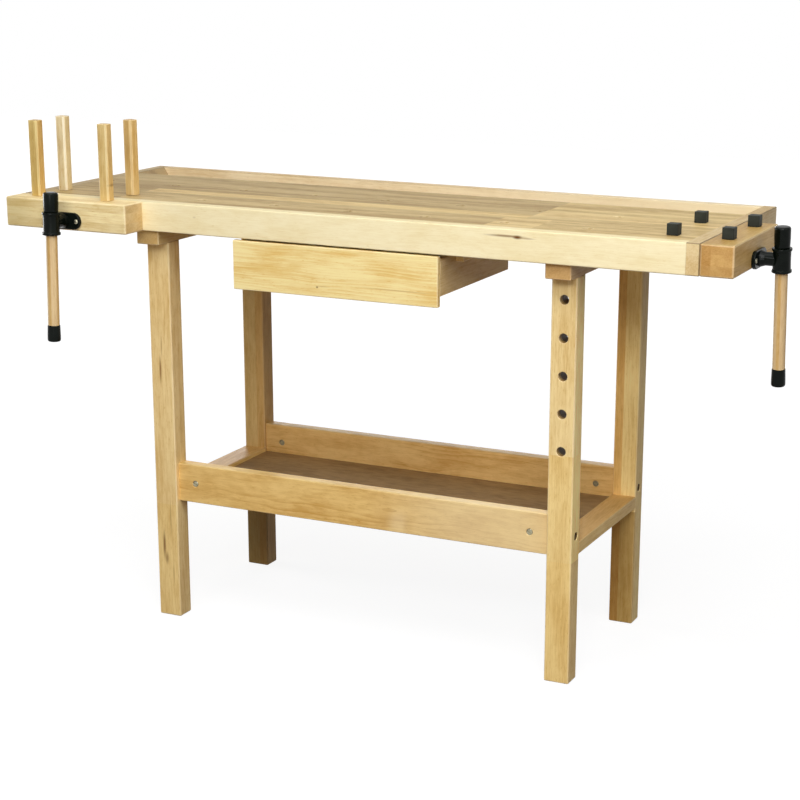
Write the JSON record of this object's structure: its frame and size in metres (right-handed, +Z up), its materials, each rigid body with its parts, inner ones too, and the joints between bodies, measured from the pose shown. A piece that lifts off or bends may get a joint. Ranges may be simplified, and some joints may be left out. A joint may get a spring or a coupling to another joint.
{
  "type": "woodworking bench",
  "caption": "Wooden joiner's bench with a front vise and a tail vise, rows of dog holes, loose pegs and dogs, a rear tool well, a drawer under the apron and a low shelf.",
  "frame": {"origin": "on the floor under the middle of the whole footprint, with both vises closed", "axes": "+X to the right along the bench towards the tail vise, +Y to its back, +Z up"},
  "size_m": [1.4934, 0.6036, 0.9943],
  "materials": {
    "pale_wood": "clear satin lacquer",
    "warm_wood": "clear satin lacquer",
    "tan_wood": "thin worn lacquer",
    "shelf_board": "matt brown panel",
    "drawer_wood": "clear satin lacquer",
    "jaw_wood": "clear satin lacquer",
    "peg_wood": "bare planed wood",
    "handle_wood": "turned and waxed",
    "black_casting": "black satin paint",
    "black_plastic": "moulded matt black",
    "steel": "zinc plated"
  },
  "bodies": {
    "bench": {"front_apron": "pale_wood", "left_end_cap": "warm_wood", "right_end_cap": "warm_wood", "back_rail": "warm_wood", "front_left_leg": "warm_wood", "rear_left_leg": "warm_wood", "front_right_leg": "warm_wood", "rear_right_leg": "warm_wood", "left_bearer": "warm_wood", "right_bearer": "warm_wood", "left_cross_rail": "warm_wood", "right_cross_rail": "warm_wood", "front_stretcher": "warm_wood", "rear_stretcher": "warm_wood", "left_drawer_runner": "warm_wood", "right_drawer_runner": "warm_wood", "worktop_front_board": "tan_wood", "worktop_rear_board": "tan_wood", "tool_well": "tan_wood", "shelf": "shelf_board", "front_vise_nut": "black_casting", "tail_vise_nut": "black_casting", "front_left_bolt": "steel", "front_left_barrel_nut": "steel", "front_right_bolt": "steel", "front_right_barrel_nut": "steel", "rear_left_bolt": "steel", "rear_left_barrel_nut": "steel", "rear_right_bolt": "steel", "rear_right_barrel_nut": "steel"},
    "drawer": {"drawer_front": "drawer_wood", "drawer_left_side": "warm_wood", "drawer_right_side": "warm_wood", "drawer_back": "warm_wood", "drawer_bottom": "shelf_board"},
    "front_jaw": {"front_vise_jaw": "jaw_wood", "front_vise_flange": "black_casting", "front_vise_left_guide_rod": "steel", "front_vise_right_guide_rod": "steel"},
    "front_screw": {"front_vise_screw": "black_casting"},
    "front_handle": {"front_vise_handle": "handle_wood", "front_vise_top_cap": "black_plastic", "front_vise_bottom_cap": "black_plastic"},
    "tail_jaw": {"tail_vise_jaw": "jaw_wood", "tail_vise_flange": "black_casting", "tail_vise_left_guide_rod": "steel", "tail_vise_right_guide_rod": "steel"},
    "tail_screw": {"tail_vise_screw": "black_casting"},
    "tail_handle": {"tail_vise_handle": "handle_wood", "tail_vise_top_cap": "black_plastic", "tail_vise_bottom_cap": "black_plastic"},
    "jaw_left_peg": {"jaw_left_peg": "peg_wood"},
    "worktop_left_peg": {"worktop_left_peg": "peg_wood"},
    "jaw_right_peg": {"jaw_right_peg": "peg_wood"},
    "worktop_right_peg": {"worktop_right_peg": "peg_wood"},
    "jaw_front_dog": {"jaw_front_dog": "black_plastic"},
    "worktop_front_dog": {"worktop_front_dog": "black_plastic"},
    "jaw_rear_dog": {"jaw_rear_dog": "black_plastic"},
    "worktop_rear_dog": {"worktop_rear_dog": "black_plastic"}
  },
  "joints": [
    {"name": "drawer_slide", "type": "slide", "parent": "bench", "child": "drawer", "axis": [0, -1, 0], "range_m": [0, 0.18]},
    {"name": "front_jaw_slide", "type": "slide", "parent": "bench", "child": "front_jaw", "axis": [0, -1, 0], "range_m": [0, 0.15]},
    {"name": "front_screw_turn", "type": "hinge", "parent": "front_jaw", "child": "front_screw", "pos_m": [-0.61075, -0.28425, 0.813], "axis": [0, -1, 0], "range_deg": [0, 9000]},
    {"name": "front_handle_slide", "type": "slide", "parent": "front_screw", "child": "front_handle", "axis": [0.0288, 0, 0.9996], "range_m": [0, 0.17]},
    {"name": "tail_jaw_slide", "type": "slide", "parent": "bench", "child": "tail_jaw", "axis": [1, 0, 0], "range_m": [0, 0.15]},
    {"name": "tail_screw_turn", "type": "hinge", "parent": "tail_jaw", "child": "tail_screw", "pos_m": [0.72925, -0.04075, 0.809], "axis": [1, 0, 0], "range_deg": [0, 9000]},
    {"name": "tail_handle_slide", "type": "slide", "parent": "tail_screw", "child": "tail_handle", "axis": [0, -0.0872, 0.9962], "range_m": [0, 0.17]},
    {"name": "jaw_left_peg_lift", "type": "slide", "parent": "front_jaw", "child": "jaw_left_peg", "axis": [0, 0, 1], "range_m": [0, 0.055]},
    {"name": "worktop_left_peg_lift", "type": "slide", "parent": "bench", "child": "worktop_left_peg", "axis": [0, 0, 1], "range_m": [0, 0.055]},
    {"name": "jaw_right_peg_lift", "type": "slide", "parent": "front_jaw", "child": "jaw_right_peg", "axis": [0, 0, 1], "range_m": [0, 0.055]},
    {"name": "worktop_right_peg_lift", "type": "slide", "parent": "bench", "child": "worktop_right_peg", "axis": [0, 0, 1], "range_m": [0, 0.055]},
    {"name": "jaw_front_dog_lift", "type": "slide", "parent": "tail_jaw", "child": "jaw_front_dog", "axis": [0, 0, 1], "range_m": [0, 0.046]},
    {"name": "worktop_front_dog_lift", "type": "slide", "parent": "bench", "child": "worktop_front_dog", "axis": [0, 0, 1], "range_m": [0, 0.046]},
    {"name": "jaw_rear_dog_lift", "type": "slide", "parent": "tail_jaw", "child": "jaw_rear_dog", "axis": [0, 0, 1], "range_m": [0, 0.046]},
    {"name": "worktop_rear_dog_lift", "type": "slide", "parent": "bench", "child": "worktop_rear_dog", "axis": [0, 0, 1], "range_m": [0, 0.046]}
  ],
  "couplings": [
    {"joint": "front_jaw_slide", "follows": "front_screw_turn", "m_per_rad": 0.00095493},
    {"joint": "tail_jaw_slide", "follows": "tail_screw_turn", "m_per_rad": 0.00095493}
  ]
}
